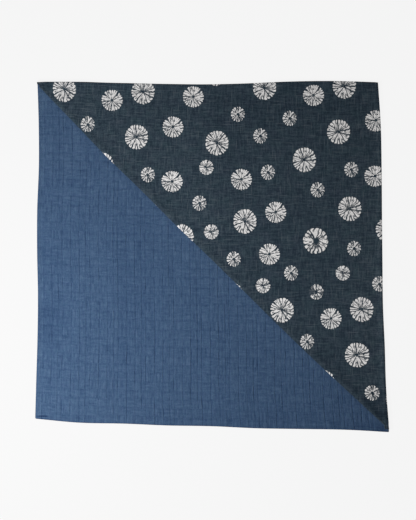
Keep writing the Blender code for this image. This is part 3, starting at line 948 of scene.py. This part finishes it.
def print_material():
    t = Tree("printed_slub_cotton")
    x, y, shade = t.attribute("flat")
    white = t.mul(ring_white(t), t.step(shade, UNPRINTED + 1, UNPRINTED + 2))
    # The slub weave.
    down = t.noise(t.mul(x, 0.42), t.mul(y, 0.06), 2.0, 2.0, 0.6)
    cross = t.noise(t.mul(x, 0.06), t.mul(y, 0.44), 6.0, 2.0, 0.6)
    grain = t.noise(t.mul(x, 0.48), t.mul(y, 0.48), 9.0, 1.0)
    cloud = t.noise(t.mul(x, 0.05), t.mul(y, 0.05), 4.0, 2.0)
    thick = t.add(slubs(t, x, y, 2.6, 17.0, 0.35, 31.0), slubs(t, y, x, 2.6, 19.0, 0.35, 41.0))
    weave = threads(t, x, y, 0.72)
    tone = t.add(0.90, t.mul(t.sub(t.add(down, cross), 1.0), 1.75))
    tone = t.add(tone, t.sub(grain, 0.5))
    tone = t.add(tone, t.mul(thick, 0.54))
    tone = t.add(tone, t.mul(t.sub(cloud, 0.5), 0.04))
    tone = t.mul(t.math("MAXIMUM", tone, 0.56), t.add(0.82, t.mul(weave, 0.28)))
    # Painted shade and painted light from the mesh on the dark ground.
    tone = t.mul(tone, t.sub(1.0, t.math("MAXIMUM", shade, -1.0)))
    dye = t.blend(t.noise(t.mul(x, 0.07), t.mul(y, 0.07), 21.0, 1.0), *DARK_DYES)
    ground = t.tinted(dye, tone, DARK_POWERS)
    ground = t.blend(t.mul(thick, 0.45), ground, SLUB)
    pale = t.add(0.98, t.mul(t.sub(down, 0.5), 0.45))
    pale = t.add(pale, t.mul(t.sub(cross, 0.5), 0.45))
    # Painted light: the undyed print is coloured lighter towards the right.
    pale = t.mul(pale, t.add(1.01, t.mul(x, 0.0005)))
    undyed = t.scaled(UNDYED, pale)
    height = t.add(t.mul(weave, 0.14), t.add(t.mul(down, 0.36), t.mul(cross, 0.36)))
    t.bump(height, 0.0009, 0.8)
    return t.finish(t.blend(white, ground, undyed), 0.93, 0.05, 0.15)


def thread_material(name, colour):
    t = Tree(name)
    x, y, _ = t.attribute("flat")
    twist = t.math("SINE", t.add(t.mul(x, 9.0), t.mul(y, 7.0)))
    tone = t.add(0.92, t.mul(twist, 0.12))
    t.bump(twist, 0.0001, 0.6)
    return t.finish(t.scaled(colour, tone), 0.7, 0.1, 0.3)


def floor_material():
    t = Tree("pale_paper")
    grain = t.node("TexNoise", t.node("TexCoord").outputs["Object"])
    grain.inputs["Scale"].default_value = 3.0
    t.shader.inputs["Emission Strength"].default_value = 1.0
    t.shader.inputs["Emission Color"].default_value = FLOOR_GLOW
    paper = t.scaled((0.04, 0.04, 0.04, 1), t.add(0.98, t.mul(grain.outputs["Fac"], 0.04)))
    return t.finish(paper, 1.0, 0.0, 0.0)


# Sewing.
def stitches(name, points, normals_up, material, long=1.9, wide=0.21, tall=0.16):
    """Small thread loops, one to each pair of neighbouring points."""
    around, rings = 6, 4
    verts, faces, flats = [], [], []
    for k in range(len(points) - 1):
        a, b = points[k], points[k + 1]
        middle = (a + b) / 2
        along = (b - a) / max(np.linalg.norm(b - a), 1e-6)
        side = np.cross([0, 0, 1.0], along)
        side /= np.linalg.norm(side)
        up = np.cross(along, side) * normals_up
        start = len(verts)
        for i in range(rings + 1):
            s = -1 + 2 * i / rings
            swell = math.sqrt(max(0.0, 1 - (0.96 * s) ** 4))
            for j in range(around):
                angle = 2 * math.pi * j / around
                p = middle + along * (s * long / 2) + side * (math.cos(angle) * wide * swell)
                p = p + up * (math.sin(angle) * tall * swell + 0.05 - 0.16 * s * s)
                verts.append(p)
                flats.append((p[0], p[1], 0))
        for i in range(rings):
            for j in range(around):
                q = start + i * around
                face = (q + j, q + (j + 1) % around, q + around + (j + 1) % around, q + around + j)
                faces.append(face if normals_up > 0 else face[::-1])
        caps = (tuple(start + j for j in range(around))[::-1],
                tuple(start + rings * around + j for j in range(around)))
        faces += [c if normals_up > 0 else c[::-1] for c in caps]
    return make_mesh(name, np.array(verts), faces, material, [("flat", "POINT", np.array(flats))])


STITCH_PITCH = 2.8
# The print cloth's rows: side, first and last share along it, and millimetres in from it.
PRINT_ROWS = (("top", 0.006, 0.985, STITCH_INSET), ("right", 0.012, 0.975, 4.6))
PRINT_STITCHES = 176  # in each row


def stitch_row(corners):
    """Evenly spaced cloth coordinates round a row of stitches."""
    points = []
    for (ax, ay), (bx, by) in zip(corners, corners[1:]):
        steps = max(1, round(math.hypot(bx - ax, by - ay) / STITCH_PITCH))
        points += [(ax + (bx - ax) * k / steps, ay + (by - ay) * k / steps) for k in range(steps)]
    return np.array(points + [corners[-1]], float)


def plain_stitches(material, under):
    a, b = STITCH_INSET, SIDE - STITCH_INSET
    at = stitch_row([(a, a), (b, a), (b, b), (a, b), (a, a)])
    x, y, middle, edge, _ = plain_surface(at[:, 0], at[:, 1])
    if under:
        z = np.maximum(middle - PLAIN_HALF - 0.5 * hem_height(edge), LOWEST) + 0.10
        return stitches("plain_stitches_under", np.stack([x, y, z], -1), -1, material)
    low = np.maximum(middle - PLAIN_HALF, LOWEST)
    z = np.maximum(middle, low + PLAIN_HALF) + PLAIN_HALF + hem_height(edge)
    return stitches("plain_stitches", np.stack([x, y, z], -1), 1, material)


def print_stitches(material, surface):
    """One row along the top and right hems, laid on the finished cloth."""
    rows = [side_point(side, np.linspace(first, last, PRINT_STITCHES), inset) + SHIFT
            for side, first, last, inset in PRINT_ROWS]
    points = []
    for x, y in np.concatenate(rows):
        hit, at, _, _ = surface.ray_cast(Vector((x * MM, y * MM, 50 * MM)), Vector((0, 0, -1)))
        if hit:
            points.append((x, y, at.z / MM))
    return stitches("print_stitches", np.array(points), 1, material)


# Build.
blue = plain_material()
dark = print_material()
plain = plain_sheet(blue)
printed = print_sheet(dark, ring_table())
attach(plain, "root")
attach(printed, "root")
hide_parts("plain_cloth")
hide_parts("print_cloth")
blue_thread = thread_material("blue_sewing_thread", BLUE_THREAD)
dark_thread = thread_material("dark_sewing_thread", DARK_THREAD)
for row, slot in ((plain_stitches(blue_thread, False), "plain_cotton"),
                  (plain_stitches(blue_thread, True), "plain_cotton"),
                  (print_stitches(dark_thread, printed), "print_cotton")):
    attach(row, "root")

FLOOR_HALF = 30.0  # metres
floor_corners = [(x * FLOOR_HALF, y * FLOOR_HALF, 0) for x, y in ((-1, -1), (1, -1), (1, 1), (-1, 1))]
floor_mesh = bpy.data.meshes.new("floor")
floor_mesh.from_pydata(floor_corners, [], [(0, 1, 2, 3)])
floor_mesh.materials.append(floor_material())
floor = add_object("floor", floor_mesh)

# Light and camera, in metres and watts.
SKY_LIGHT = 0.273
WINDOW_PLACE = (-0.378, -0.169, 0.511)
WINDOW_POWER, WINDOW_RADIUS = 15.9, 0.10
LENS, SENSOR = 85, 36  # millimetres
PICTURE_HEIGHT = 520  # pixels of the photograph
PICTURE_MIDDLE = (208, 260)
SCALE_HEIGHT = 0.004  # the height at which the picture is to scale
scene = bpy.context.scene
scene.view_settings.view_transform = "Standard"
scene.view_settings.look = "None"
world = bpy.data.worlds.new("soft_room")
world.use_nodes = True
sky = world.node_tree.nodes["Background"]
sky.inputs[0].default_value = (1, 1, 1, 1)
sky.inputs[1].default_value = SKY_LIGHT
scene.world = world
lamp = bpy.data.lights.new("window", "POINT")
lamp.energy = WINDOW_POWER
lamp.shadow_soft_size = WINDOW_RADIUS
light = add_object("window", lamp)
light.location = WINDOW_PLACE
light.visible_camera = False

camera = bpy.data.cameras.new("camera")
camera.lens = LENS
camera.sensor_width = SENSOR
view = add_object("camera", camera)
centre = place(*PICTURE_MIDDLE)
away = PICTURE_HEIGHT * PX * MM / (SENSOR / LENS)
view.location = (centre[0] * MM, centre[1] * MM, away + SCALE_HEIGHT)
scene.camera = view
